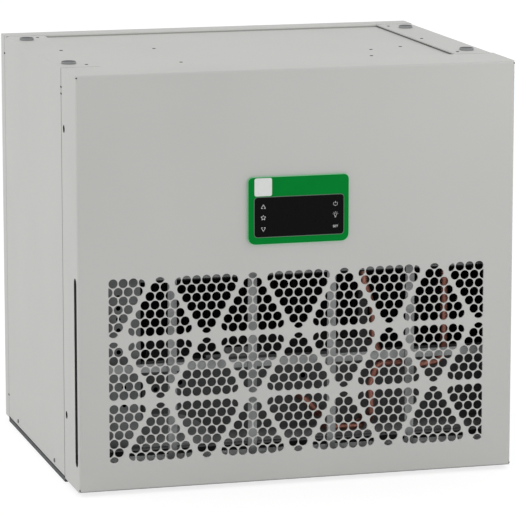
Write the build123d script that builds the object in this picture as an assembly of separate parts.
from build123d import *
import math
import os

# A roof-mounted enclosure cooling unit in folded sheet metal.
# The origin is on the gasket's underside, in the middle of the unit's outline with
# its keypad. The grille faces -Y, +X is to the right of someone who looks at the
# grille, and +Z is up.

# Overall size
WIDTH = 443.5
DEPTH = 362.0
HOUSING_HEIGHT = 409.3
GASKET_HEIGHT = 4.0

# Sheet metal
SHEET = 1.5
BASE_SHEET = 2.0
BEND_RADIUS = 2.6
BEND_BORDER = 10.0
COVER_DEPTH = 65.0
SEAM_GAP = 0.4
REAR_WRAP = 20.0
REAR_TOP_FLANGE = 30.0
SIDE_TOP_FLANGE = 39.5
TOP_RECESS = 2.5
BOTTOM_FLANGE = 20.0
COVER_LIP = 14.0
TONGUE_OVERLAP = 16.0
PLATE_OVERLAP = 12.0

# Punched grille in the front cover
HOLE_PITCH = 10.0
HOLE_DIAMETER = 9.14
HOLE_SIDES = 6
ROWS_PER_TRIANGLE = 7
TRIANGLE_WEB = 3.71
TRIANGLES_EACH_SIDE = 4
BAND_COUNT = 3
BAND_WEB = 4.17
APEX_OVERRUN = 3.1
LOWEST_ROW_ABOVE_BOTTOM = 32.6
GRILLE_FROM_SIDE = 30.45
SMALLEST_HOLE_AREA = 4.0

# Side slots and fixing holes of the front cover
SLOT_WIDTH = 11.3
SLOT_FROM_FRONT = 4.7
SLOT_LOW_END = 24.0
SLOT_LENGTH = 187.0
COVER_SCREW_HOLE = 7.7
COVER_SCREW_FROM_FRONT = 54.7
COVER_SCREW_BELOW_TOP = 58.5
COVER_SCREW_ABOVE_BOTTOM = 66.5

# Keypad
KEYPAD_WIDTH = 102.6
KEYPAD_HEIGHT = 66.7
KEYPAD_ABOVE_GRILLE = 32.0
KEYPAD_OFFSET = -1.0
KEYPAD_THICKNESS = 2.6
KEYPAD_TOP_RADIUS = 5.0
KEYPAD_BOTTOM_RADIUS = 7.5
KEYPAD_EDGE = 0.8
WINDOW_WIDTH = 90.3
WINDOW_HEIGHT = 39.0
WINDOW_BELOW_EDGE = 20.2
WINDOW_OFFSET = 0.55
WINDOW_RADIUS = 3.0
WINDOW_DEPTH = 1.2
WINDOW_PROUD = 0.3
CASE_WIDTH = 84.0
CASE_HEIGHT = 50.0
CASE_DEPTH = 18.0
CASE_CLEARANCE = 0.5

# Lifting plugs on the roof
PLUG_DIAMETER = 14.5
PLUG_HEIGHT = 2.5
PLUG_FROM_LEFT = 14.15
PLUG_FROM_RIGHT = 18.65
PLUG_FROM_REAR = 66.65
PLUG_FROM_SEAM = 29.1
PLUG_SHANK_DIAMETER = 9.0
PLUG_CLEARANCE = 0.3
PLUG_SHANK_LENGTH = 7.0
PLUG_EDGE = 1.0

# Filter frame behind the grille
FRAME_FROM_FRONT = 24.5
FRAME_SHEET = 1.5
GUARD_BAR_WIDTH = 9.0
GUARD_BAR_SPACING = 81.36
GUARD_BAR_COUNT = 4
GUARD_BAR_ABOVE_BOTTOM = 10.0
TOP_BAR_ABOVE_BOTTOM = 201.2
TOP_BAR_HEIGHT = 19.8
CROSS_BAR_ABOVE_BOTTOM = 111.0
CROSS_BAR_HEIGHT = 8.4
BOTTOM_BAR_HEIGHT = 24.0
FOAM_THICKNESS = 6.0
FOAM_HEIGHT = 30.7

# Control box behind the left end of the grille
CONTROL_BOX_FROM_FRONT = 40.0
CONTROL_BOX_WIDTH = 68.7
CONTROL_BOX_RETURN = 58.0
CONTROL_BOX_BELOW_TOP = 17.3
VENT_HOLE = 4.4
VENT_SIDES = 6
VENT_PITCH = 10.95
VENT_COUNT = 6
VENT_FROM_LEFT = 49.5
VENT_ABOVE_BOTTOM = 184.35

# Evaporator box on the base, with the condenser coil above it
BOX_FROM_FRONT = 76.0
BOX_FROM_LEFT = 81.75
BOX_FROM_RIGHT = 5.0
BOX_FROM_REAR = 32.0
BOX_HEIGHT = 107.5
BOX_SHEET = 1.5
BOX_HOLE = 5.0
BOX_HOLES_FROM_LEFT = (120.6, 248.35)
BOX_HOLE_BELOW_TOP = 23.3
COIL_SETBACK = 5.0
COIL_THICKNESS = 42.0
COIL_INSET = 2.0
COIL_ABOVE_BOX = 21.0
COIL_BELOW_TOP = 21.3
COIL_END_PLATE = 3.0
FIN_PITCH = 8.0
FIN_SLOT = 2.5
FIN_SLOT_DEPTH = 4.0

# Dark pieces on the box in front of the coil
# Each step gives the distance from the unit's left side, the width, depth and height.
LEFT_BLOCK_STEPS = ((147.45, 62.3, 24.0, 3.0), (163.0, 34.25, 24.0, 9.5))
RIGHT_BLOCK_STEPS = ((281.95, 39.3, 24.0, 9.8), (306.95, 9.1, 4.0, 75.0))

# Copper pipes
# A route gives, for each corner, the distance from the unit's right side, the distance
# in front of the evaporator box, and the height above the box's top. After the corners
# come the bend radii.
PIPE_DIAMETER = 7.4
PIPE_SIDES = 8
DISCHARGE_PIPE = (
    ((54.8, -COIL_SETBACK, 225), (54.8, 26, 225), (54.8, 26, -10), (87.75, 26, -13.5), (87.75, 0, -13.5)),
    (11, 13, 10))
LIQUID_PIPE = (
    ((148.75, -COIL_SETBACK, 115), (148.75, 18, 115), (127.1, 18, 55), (127.1, 18, 16),
     (118.7, 18, -7), (118.7, 0, -7)),
    (10, 25, 15, 9))
SUCTION_PIPE = (
    ((97.75, 0, -9.5), (97.75, 28, -9.5), (125.7, 28, -8.8), (132.9, 28, -28),
     (131.5, 28, -67.5), (131.5, 0, -67.5)),
    (10, 9, 12, 10))
LOW_LOOP = (
    ((173.75, 0, -75.6), (173.75, 14, -75.6), (136, 14, -75.6), (136, 0, -75.6)),
    (8, 8))
SIDE_LOOP = (
    ((202, 0, -41.5), (202, 14, -41.5), (182.5, 14, -62), (182.5, 0, -62)),
    (8, 8))

# Air openings and fixing holes in the base
INLET_DIAMETER = 130.0
RING_WIDTH = 10.0
RING_STEP = 2.0
RING_HEIGHT = 16.0
OUTLET_WIDTH = 260.0
OUTLET_DEPTH = 50.0
OUTLET_SETBACK = 10.0
OUTLET_CORNER = 6.0
MOUNT_HOLE = 9.0
MOUNT_FROM_SIDE = 28.75
MOUNT_FROM_SEAM = 28.3

# Exhaust slots in the rear panel
REAR_SLOT_LENGTH = 150.0
REAR_SLOT_WIDTH = 8.0
REAR_SLOT_PITCH = 24.0
REAR_SLOT_ROWS = 6
REAR_SLOT_COLUMN = 95.0
REAR_SLOT_CORNER = 2.4
REAR_SLOT_ABOVE_BOTTOM = 186.0

# Gasket
GASKET_WIDTH = 20.0

# Places that follow from the sizes above
KEYPAD_PROUD = KEYPAD_THICKNESS + WINDOW_PROUD
FRONT = (KEYPAD_PROUD - DEPTH) / 2
REAR = FRONT + DEPTH
LEFT = -WIDTH / 2
RIGHT = WIDTH / 2
BOTTOM = GASKET_HEIGHT
TOP = BOTTOM + HOUSING_HEIGHT
SEAM = FRONT + COVER_DEPTH + SEAM_GAP
REAR_SEAM = REAR - REAR_WRAP
FLOOR = BOTTOM + SHEET + BASE_SHEET
ROW_PITCH = HOLE_PITCH * math.sqrt(3) / 2
BAND_HEIGHT = (ROWS_PER_TRIANGLE - 1) * ROW_PITCH - APEX_OVERRUN
BAND_SPACING = BAND_HEIGHT + HOLE_DIAMETER + BAND_WEB
TRIANGLE_BASE = (ROWS_PER_TRIANGLE - 1) * HOLE_PITCH
TRIANGLE_SPACING = TRIANGLE_BASE + (2 * (HOLE_DIAMETER + TRIANGLE_WEB) - BAND_HEIGHT) / math.sqrt(3)
LOWEST_ROW = BOTTOM + LOWEST_ROW_ABOVE_BOTTOM
HIGHEST_ROW = LOWEST_ROW + (BAND_COUNT - 1) * BAND_SPACING + BAND_HEIGHT
KEYPAD_MIDDLE = HIGHEST_ROW + KEYPAD_ABOVE_GRILLE + KEYPAD_HEIGHT / 2
WINDOW_MIDDLE = KEYPAD_MIDDLE + (KEYPAD_HEIGHT - WINDOW_HEIGHT) / 2 - WINDOW_BELOW_EDGE
FRAME_FRONT = FRONT + FRAME_FROM_FRONT
FRAME_BACK = FRAME_FRONT + FRAME_SHEET
INNER_LEFT = LEFT + 2 * SHEET
INNER_RIGHT = RIGHT - 2 * SHEET
CONTROL_BOX_FACE = FRONT + CONTROL_BOX_FROM_FRONT
BOX_LEFT = LEFT + BOX_FROM_LEFT
BOX_RIGHT = RIGHT - BOX_FROM_RIGHT
BOX_FRONT = FRONT + BOX_FROM_FRONT
BOX_REAR = REAR - BOX_FROM_REAR
BOX_TOP = FLOOR + BOX_HEIGHT
COIL_FRONT = BOX_FRONT + COIL_SETBACK
AIR_MIDDLE = (BOX_LEFT + BOX_RIGHT) / 2
OUTLET_FRONT = BOX_FRONT + OUTLET_SETBACK
OUTLET_REAR = OUTLET_FRONT + OUTLET_DEPTH


def block(x_limits, y_limits, z_limits):
    """A box between two limits on each axis."""
    size = [high - low for low, high in (x_limits, y_limits, z_limits)]
    centre = [(low + high) / 2 for low, high in (x_limits, y_limits, z_limits)]
    return Pos(*centre) * Box(*size)


def drill(diameter, length, place, axis):
    """A round cutter centred on a place, with its axis along X, Y or Z."""
    turns = {"X": (0, 90, 0), "Y": (90, 0, 0), "Z": (0, 0, 0)}
    return Pos(*place) * Rot(*turns[axis]) * Cylinder(diameter / 2, length)


# Grille pattern
def hole_outline(x, z):
    """The corners of one full hole, with its flats towards its neighbours."""
    corner_radius = HOLE_DIAMETER / 2 * math.sqrt(
        2 * math.pi / (HOLE_SIDES * math.sin(2 * math.pi / HOLE_SIDES)))
    angles = [(i + 0.5) * 2 * math.pi / HOLE_SIDES for i in range(HOLE_SIDES)]
    return [(x + corner_radius * math.cos(a), z + corner_radius * math.sin(a)) for a in angles]


def trim(outline, place, direction):
    """What is left of an outline on the near side of a line across a direction."""
    reach = [(x - place[0]) * direction[0] + (z - place[1]) * direction[1] for x, z in outline]
    kept = []
    for i, corner in enumerate(outline):
        before = i - 1
        if (reach[i] > 0) != (reach[before] > 0):
            share = reach[before] / (reach[before] - reach[i])
            start = outline[before]
            kept.append(tuple(start[n] + share * (corner[n] - start[n]) for n in (0, 1)))
        if reach[i] <= 0:
            kept.append(corner)
    return kept


def outline_area(outline):
    pairs = zip(outline, outline[1:] + outline[:1])
    return abs(sum(a[0] * b[1] - b[0] * a[1] for a, b in pairs)) / 2


def triangle_outlines(centre, base, far_edge, up):
    """One triangle of holes: full rows, with its three corner holes cut across."""
    outlines = []
    for row in range(ROWS_PER_TRIANGLE):
        count = ROWS_PER_TRIANGLE - row
        z = base + up * row * ROW_PITCH
        for i in range(count):
            x = centre + (i - (count - 1) / 2) * HOLE_PITCH
            outline = hole_outline(x, z)
            if row == 0 and i in (0, count - 1):
                side = -1 if i == 0 else 1
                outline = trim(outline, (x, z), (side * math.sqrt(3) / 2, -up / 2))
            if count == 1:
                outline = trim(outline, (x, far_edge), (0, up))
            outlines.append(outline)
    return outlines


def grille_outlines():
    """All holes of the grille: three bands of triangles that point up and down by turns."""
    outlines = []
    for band in range(BAND_COUNT):
        high_base = HIGHEST_ROW - band * BAND_SPACING
        low_base = high_base - BAND_HEIGHT
        for k in range(-TRIANGLES_EACH_SIDE, TRIANGLES_EACH_SIDE + 1):
            centre = k * TRIANGLE_SPACING
            if (k + band) % 2 == 0:
                far_edge = low_base - HOLE_DIAMETER / 2
                outlines += triangle_outlines(centre, high_base, far_edge, -1)
            else:
                far_edge = high_base + HOLE_DIAMETER / 2
                outlines += triangle_outlines(centre, low_base, far_edge, 1)
    half_width = WIDTH / 2 - GRILLE_FROM_SIDE
    for side in (-1, 1):
        outlines = [trim(o, (side * half_width, 0), (side, 0)) for o in outlines]
    return [o for o in outlines if len(o) > 2 and outline_area(o) > SMALLEST_HOLE_AREA]


# Housing
def case_outline():
    """The cut-out in the front cover that the keypad's case passes through."""
    half_width = CASE_WIDTH / 2 + CASE_CLEARANCE
    half_height = CASE_HEIGHT / 2 + CASE_CLEARANCE
    corners = ((-1, -1), (1, -1), (1, 1), (-1, 1))
    return [(KEYPAD_OFFSET + a * half_width, KEYPAD_MIDDLE + b * half_height) for a, b in corners]


def perforated_sheet():
    """The flat of the front sheet inside its bends, with every hole punched."""
    left, right = LEFT + BEND_BORDER, RIGHT - BEND_BORDER
    low, high = BOTTOM + BEND_BORDER, TOP - BEND_BORDER
    corners = [(left, low), (right, low), (right, high), (left, high)]
    rings = []
    for outline in [corners] + grille_outlines() + [case_outline()]:
        rings.append(Wire.make_polygon([(x, FRONT, z) for x, z in outline], close=True))
    return extrude(Face(rings[0], rings[1:]), SHEET, dir=(0, 1, 0))


def cover_side_cutters(side):
    """The long slot and the two screw holes in one side flange of the cover."""
    x = side * WIDTH / 2
    slot_y = FRONT + SLOT_FROM_FRONT + SLOT_WIDTH / 2
    slot_low = BOTTOM + SLOT_LOW_END
    straight = (slot_low + SLOT_WIDTH / 2, slot_low + SLOT_LENGTH - SLOT_WIDTH / 2)
    cut = 4 * SHEET
    slot = block((x - cut / 2, x + cut / 2), (slot_y - SLOT_WIDTH / 2, slot_y + SLOT_WIDTH / 2), straight)
    cutters = [slot] + [drill(SLOT_WIDTH, cut, (x, slot_y, z), "X") for z in straight]
    screw_y = FRONT + COVER_SCREW_FROM_FRONT
    for z in (TOP - COVER_SCREW_BELOW_TOP, BOTTOM + COVER_SCREW_ABOVE_BOTTOM):
        cutters.append(drill(COVER_SCREW_HOLE, cut, (x, screw_y, z), "X"))
    return cutters


def cover_border():
    """The bends round the front, with two side flanges, a top flange and a bottom lip."""
    flange_y = (FRONT, FRONT + COVER_DEPTH)
    border = block((LEFT, RIGHT), flange_y, (BOTTOM, TOP))
    border = fillet(border.faces().sort_by(Axis.Y)[0].edges(), BEND_RADIUS)
    inside = block((LEFT + SHEET, RIGHT - SHEET), (FRONT + SHEET, REAR), (BOTTOM + SHEET, TOP - SHEET))
    behind_lip = block((LEFT + SHEET, RIGHT - SHEET), (FRONT + COVER_LIP, REAR), (0, BOTTOM + 2 * SHEET))
    window = block(
        (LEFT + BEND_BORDER, RIGHT - BEND_BORDER),
        (FRONT - SHEET, FRONT + 2 * SHEET),
        (BOTTOM + BEND_BORDER, TOP - BEND_BORDER))
    return border - [inside, behind_lip, window]


def front_cover():
    """The folded front cover, with its grille, side slots and screw holes."""
    cutters = [c for side in (-1, 1) for c in cover_side_cutters(side)]
    return (cover_border() - cutters) + perforated_sheet()


def side_panel():
    """The left panel: wall, top strip with its turned edge, bottom flange and joggled tongue."""
    y_limits = (SEAM, REAR_SEAM - SEAM_GAP)
    strip_y = (SEAM, REAR - REAR_TOP_FLANGE - SEAM_GAP)
    strip_edge = LEFT + SIDE_TOP_FLANGE
    outside = block((LEFT, strip_edge), y_limits, (BOTTOM, TOP))
    bends = outside.faces().sort_by(Axis.X)[0].edges().filter_by(Axis.Y)
    inside = block((LEFT + SHEET, strip_edge + SHEET), y_limits, (BOTTOM + SHEET, TOP - SHEET))
    beside_foot = block((LEFT + BOTTOM_FLANGE, strip_edge + SHEET), y_limits, (0, TOP - SHEET))
    behind_strip = block((LEFT - SHEET, strip_edge + SHEET), (strip_y[1], REAR), (TOP - SHEET, TOP + SHEET))
    panel = fillet(bends, BEND_RADIUS) - [inside, beside_foot, behind_strip]
    panel += block((strip_edge - SHEET, strip_edge), strip_y, (TOP - TOP_RECESS, TOP))
    panel += block(
        (LEFT + SHEET, LEFT + 2 * SHEET),
        (FRAME_FRONT, SEAM + TONGUE_OVERLAP),
        (FLOOR, TOP - TOP_RECESS - SHEET))
    return panel


def rear_panel():
    """The rear panel, folded round the sides, over the top and under the bottom."""
    flange_front = REAR - REAR_TOP_FLANGE
    outside = block((LEFT, RIGHT), (flange_front, REAR), (BOTTOM, TOP))
    outside = fillet(outside.faces().sort_by(Axis.Y)[-1].edges(), BEND_RADIUS)
    inside = block((LEFT + SHEET, RIGHT - SHEET), (FRONT, REAR - SHEET), (BOTTOM + SHEET, TOP - SHEET))
    before_wrap = block((LEFT - SHEET, RIGHT + SHEET), (FRONT, REAR_SEAM), (0, TOP - SHEET))
    turned_edge = block(
        (LEFT + SIDE_TOP_FLANGE - SHEET, RIGHT - SIDE_TOP_FLANGE + SHEET),
        (flange_front, flange_front + SHEET),
        (TOP - TOP_RECESS, TOP))
    return outside - [inside, before_wrap] + turned_edge - rear_slots()


def rear_slots():
    """Two columns of long exhaust slots."""
    outline = Rectangle(REAR_SLOT_LENGTH, REAR_SLOT_WIDTH)
    outline = chamfer(outline.vertices(), REAR_SLOT_CORNER)
    slot = extrude(Plane.XZ * outline, 4 * SHEET)
    slots = []
    for column in (-REAR_SLOT_COLUMN, REAR_SLOT_COLUMN):
        for row in range(REAR_SLOT_ROWS):
            z = BOTTOM + REAR_SLOT_ABOVE_BOTTOM + row * REAR_SLOT_PITCH
            slots.append(Pos(column, REAR + SHEET, z) * slot)
    return slots


def top_plate():
    """The sunken roof plate, held up under the turned edges of the strips."""
    strip_edge = WIDTH / 2 - SIDE_TOP_FLANGE
    return block(
        (-strip_edge - PLATE_OVERLAP, strip_edge + PLATE_OVERLAP),
        (FRONT + COVER_DEPTH - TONGUE_OVERLAP, REAR - SHEET - SEAM_GAP),
        (TOP - TOP_RECESS - SHEET, TOP - TOP_RECESS))


def base_plate():
    """The base, which lies on the bottom flanges, with its air openings and fixing holes."""
    plate = block(
        (LEFT + SHEET, RIGHT - SHEET),
        (FRONT + SHEET, REAR - SHEET),
        (BOTTOM + SHEET, FLOOR))
    inlet = drill(INLET_DIAMETER, 4 * BASE_SHEET, inlet_place(), "Z")
    outlet = block(
        (AIR_MIDDLE - OUTLET_WIDTH / 2, AIR_MIDDLE + OUTLET_WIDTH / 2),
        (OUTLET_FRONT, OUTLET_REAR),
        (BOTTOM, FLOOR + BASE_SHEET))
    outlet = fillet(outlet.edges().filter_by(Axis.Z), OUTLET_CORNER)
    return plate - [inlet, outlet] - mount_drills()


def inlet_place():
    """The inlet's centre, halfway between the outlet and the rear wall of the box."""
    return (AIR_MIDDLE, (OUTLET_REAR + BOX_REAR - BOX_SHEET) / 2, FLOOR)


def mount_drills():
    """Four fixing holes through the base, inside the bottom flanges and the gasket."""
    drills = []
    for x in (LEFT + MOUNT_FROM_SIDE, RIGHT - MOUNT_FROM_SIDE):
        for y in (SEAM + MOUNT_FROM_SEAM, REAR_SEAM - MOUNT_FROM_SEAM):
            drills.append(drill(MOUNT_HOLE, 4 * BASE_SHEET, (x, y, FLOOR), "Z"))
    return drills


def inlet_ring():
    """The rolled ring round the air inlet, which narrows towards the top."""
    inner = INLET_DIAMETER / 2
    profile = Polyline(
        (inner, 0), (inner + RING_WIDTH, 0), (inner + RING_WIDTH, SHEET),
        (inner + SHEET, SHEET + RING_STEP), (inner, RING_HEIGHT), (inner - SHEET, RING_HEIGHT),
        close=True)
    ring = revolve(make_face(Plane.XZ * profile), Axis.Z)
    return Pos(*inlet_place()) * ring


def gaskets():
    """Four foam strips under the base, butted at the corners."""
    y_limits = (SEAM, REAR_SEAM)
    height = (0, GASKET_HEIGHT)
    between = (y_limits[0] + GASKET_WIDTH, y_limits[1] - GASKET_WIDTH)
    return {
        "gasket_front": block((LEFT, RIGHT), (y_limits[0], between[0]), height),
        "gasket_rear": block((LEFT, RIGHT), (between[1], y_limits[1]), height),
        "gasket_left": block((LEFT, LEFT + GASKET_WIDTH), between, height),
        "gasket_right": block((RIGHT - GASKET_WIDTH, RIGHT), between, height),
    }


# Roof plugs
def plug_places():
    across = (LEFT + PLUG_FROM_LEFT, RIGHT - PLUG_FROM_RIGHT)
    return [(x, y) for y in (REAR - PLUG_FROM_REAR, SEAM + PLUG_FROM_SEAM) for x in across]


def plug_drills():
    """The lifting holes in the side strips."""
    diameter = PLUG_SHANK_DIAMETER + 2 * PLUG_CLEARANCE
    return [drill(diameter, 4 * SHEET, (*place, TOP), "Z") for place in plug_places()]


def lifting_plug(place):
    """A round cap whose shank closes a lifting hole in the side strip."""
    cap = Cylinder(PLUG_DIAMETER / 2, PLUG_HEIGHT, align=(Align.CENTER, Align.CENTER, Align.MIN))
    cap = chamfer(cap.edges().group_by(Axis.Z)[-1], PLUG_EDGE)
    shank = Cylinder(
        PLUG_SHANK_DIAMETER / 2, PLUG_SHANK_LENGTH, align=(Align.CENTER, Align.CENTER, Align.MAX))
    return Pos(*place, TOP) * (cap + shank)


# Keypad
def keypad_outline():
    """The overlay's outline, with larger corners at the bottom than at the top."""
    face = Rectangle(KEYPAD_WIDTH, KEYPAD_HEIGHT)
    face = fillet(face.vertices().group_by(Axis.Y)[-1], KEYPAD_TOP_RADIUS)
    return fillet(face.vertices().group_by(Axis.Y)[0], KEYPAD_BOTTOM_RADIUS)


def window_solid(depth_from, depth_to):
    """The window's prism, from one depth in front of the cover to another."""
    outline = RectangleRounded(WINDOW_WIDTH, WINDOW_HEIGHT, WINDOW_RADIUS)
    prism = extrude(Plane.XZ * outline, depth_to - depth_from)
    return Pos(KEYPAD_OFFSET + WINDOW_OFFSET, FRONT - depth_from, WINDOW_MIDDLE) * prism


def keypad_frame():
    """The raised overlay of the keypad, with a pocket for the window."""
    body = extrude(Plane.XZ * keypad_outline(), KEYPAD_THICKNESS)
    body = chamfer(body.faces().sort_by(Axis.Y)[0].outer_wire().edges(), KEYPAD_EDGE)
    pocket = window_solid(KEYPAD_THICKNESS - WINDOW_DEPTH, 2 * KEYPAD_THICKNESS)
    return Pos(KEYPAD_OFFSET, FRONT, KEYPAD_MIDDLE) * body - pocket


def keypad_window():
    """The black window, which stands a little proud of the overlay."""
    return window_solid(KEYPAD_THICKNESS - WINDOW_DEPTH, KEYPAD_PROUD)


def keypad_case():
    """The controller's case, behind the overlay and through the cover."""
    return block(
        (KEYPAD_OFFSET - CASE_WIDTH / 2, KEYPAD_OFFSET + CASE_WIDTH / 2),
        (FRONT, FRONT + SHEET + CASE_DEPTH),
        (KEYPAD_MIDDLE - CASE_HEIGHT / 2, KEYPAD_MIDDLE + CASE_HEIGHT / 2))


# Filter frame
def cross_piece(low, height):
    """One flat bar from tongue to tongue."""
    return block((INNER_LEFT, INNER_RIGHT), (FRAME_FRONT, FRAME_BACK), (low, low + height))


def guard_bar(index):
    """One upright bar in front of the flat bars."""
    x = (index - (GUARD_BAR_COUNT - 1) / 2) * GUARD_BAR_SPACING
    return block(
        (x - GUARD_BAR_WIDTH / 2, x + GUARD_BAR_WIDTH / 2),
        (FRAME_FRONT - FRAME_SHEET, FRAME_FRONT),
        (BOTTOM + GUARD_BAR_ABOVE_BOTTOM, BOTTOM + TOP_BAR_ABOVE_BOTTOM + TOP_BAR_HEIGHT))


def foam_strip():
    """The dark foam strip that stands behind the bottom bar."""
    return block(
        (INNER_LEFT, INNER_RIGHT),
        (FRAME_BACK, FRAME_BACK + FOAM_THICKNESS),
        (FLOOR, FLOOR + FOAM_HEIGHT))


# Parts behind the frame
def control_box():
    """The folded cover of the control box, with a column of vent holes."""
    right = INNER_LEFT + CONTROL_BOX_WIDTH
    back = CONTROL_BOX_FACE + CONTROL_BOX_RETURN
    z_limits = (FLOOR, TOP - CONTROL_BOX_BELOW_TOP)
    outside = block((INNER_LEFT, right), (CONTROL_BOX_FACE, back), z_limits)
    inside = block((INNER_LEFT, right - SHEET), (CONTROL_BOX_FACE + SHEET, back), z_limits)
    vent = extrude(Plane.XZ * RegularPolygon(VENT_HOLE / 2, VENT_SIDES), 2 * SHEET, both=True)
    vents = []
    for i in range(VENT_COUNT):
        z = BOTTOM + VENT_ABOVE_BOTTOM - i * VENT_PITCH
        vents.append(Pos(LEFT + VENT_FROM_LEFT, CONTROL_BOX_FACE, z) * vent)
    return outside - [inside] - vents


def evaporator_box():
    """The sheet-metal box over the two air openings, open at the bottom."""
    outside = block((BOX_LEFT, BOX_RIGHT), (BOX_FRONT, BOX_REAR), (FLOOR, BOX_TOP))
    inside = block(
        (BOX_LEFT + BOX_SHEET, BOX_RIGHT - BOX_SHEET),
        (BOX_FRONT + BOX_SHEET, BOX_REAR - BOX_SHEET),
        (FLOOR - BOX_SHEET, BOX_TOP - BOX_SHEET))
    holes = []
    for from_left in BOX_HOLES_FROM_LEFT:
        place = (LEFT + from_left, BOX_FRONT, BOX_TOP - BOX_HOLE_BELOW_TOP)
        holes.append(drill(BOX_HOLE, 4 * BOX_SHEET, place, "Y"))
    return outside - [inside] - holes


def condenser_coil():
    """The finned coil between two end plates that stand on the evaporator box."""
    left, right = BOX_LEFT + COIL_INSET, BOX_RIGHT - COIL_INSET
    y_limits = (COIL_FRONT, COIL_FRONT + COIL_THICKNESS)
    low, high = BOX_TOP + COIL_ABOVE_BOX, TOP - COIL_BELOW_TOP
    body = block((left, right), y_limits, (low, high))
    count = int((right - left) / FIN_PITCH) - 1
    slots = []
    for i in range(count):
        x = (left + right) / 2 + (i - (count - 1) / 2) * FIN_PITCH
        slots.append(block(
            (x - FIN_SLOT / 2, x + FIN_SLOT / 2),
            (COIL_FRONT - FIN_SLOT_DEPTH, COIL_FRONT + FIN_SLOT_DEPTH),
            (low - FIN_SLOT, high + FIN_SLOT)))
    body = body - slots
    for edge in (left, right - COIL_END_PLATE):
        body += block((edge, edge + COIL_END_PLATE), y_limits, (BOX_TOP, high))
    return body


def mounting_block(steps):
    """One of the dark pieces that stand on the box in front of the coil."""
    blocks = []
    for from_left, width, depth, height in steps:
        left = LEFT + from_left
        blocks.append(block(
            (left, left + width), (BOX_FRONT, BOX_FRONT + depth), (BOX_TOP, BOX_TOP + height)))
    return blocks[0] + blocks[1:]


# Copper pipes
def pipe(route):
    """A pipe along straight runs joined by tangent bends."""
    corners, radii = route
    points = [(RIGHT - side, BOX_FRONT - out, BOX_TOP + up) for side, out, up in corners]
    path = FilletPolyline(*points, radius=radii)
    section = Plane(path @ 0, z_dir=path % 0) * RegularPolygon(PIPE_DIAMETER / 2, PIPE_SIDES)
    return sweep(section, path=path)


def build_parts():
    """Every named piece of the unit."""
    left_panel = side_panel()
    parts = {
        "front_cover": front_cover(),
        "left_side_panel": left_panel - plug_drills(),
        "right_side_panel": mirror(left_panel, about=Plane.YZ) - plug_drills(),
        "rear_panel": rear_panel(),
        "top_plate": top_plate(),
        "base_plate": base_plate(),
        "inlet_ring": inlet_ring(),
        "keypad_frame": keypad_frame(),
        "keypad_window": keypad_window(),
        "keypad_case": keypad_case(),
        "top_bar": cross_piece(BOTTOM + TOP_BAR_ABOVE_BOTTOM, TOP_BAR_HEIGHT),
        "cross_bar": cross_piece(BOTTOM + CROSS_BAR_ABOVE_BOTTOM, CROSS_BAR_HEIGHT),
        "bottom_bar": cross_piece(FLOOR, BOTTOM_BAR_HEIGHT),
        "foam_strip": foam_strip(),
        "control_box": control_box(),
        "evaporator_box": evaporator_box(),
        "condenser_coil": condenser_coil(),
        "mounting_block_left": mounting_block(LEFT_BLOCK_STEPS),
        "mounting_block_right": mounting_block(RIGHT_BLOCK_STEPS),
        "copper_pipe_1": pipe(DISCHARGE_PIPE),
        "copper_pipe_2": pipe(LIQUID_PIPE),
        "copper_pipe_3": pipe(SUCTION_PIPE),
        "copper_pipe_4": pipe(LOW_LOOP),
        "copper_pipe_5": pipe(SIDE_LOOP),
    }
    parts.update(gaskets())
    for i in range(GUARD_BAR_COUNT):
        parts[f"guard_bar_{i + 1}"] = guard_bar(i)
    for i, place in enumerate(plug_places()):
        parts[f"lifting_plug_{i + 1}"] = lifting_plug(place)
    return parts


os.makedirs("parts", exist_ok=True)
for name, shape in build_parts().items():
    export_step(shape, f"parts/{name}.step")
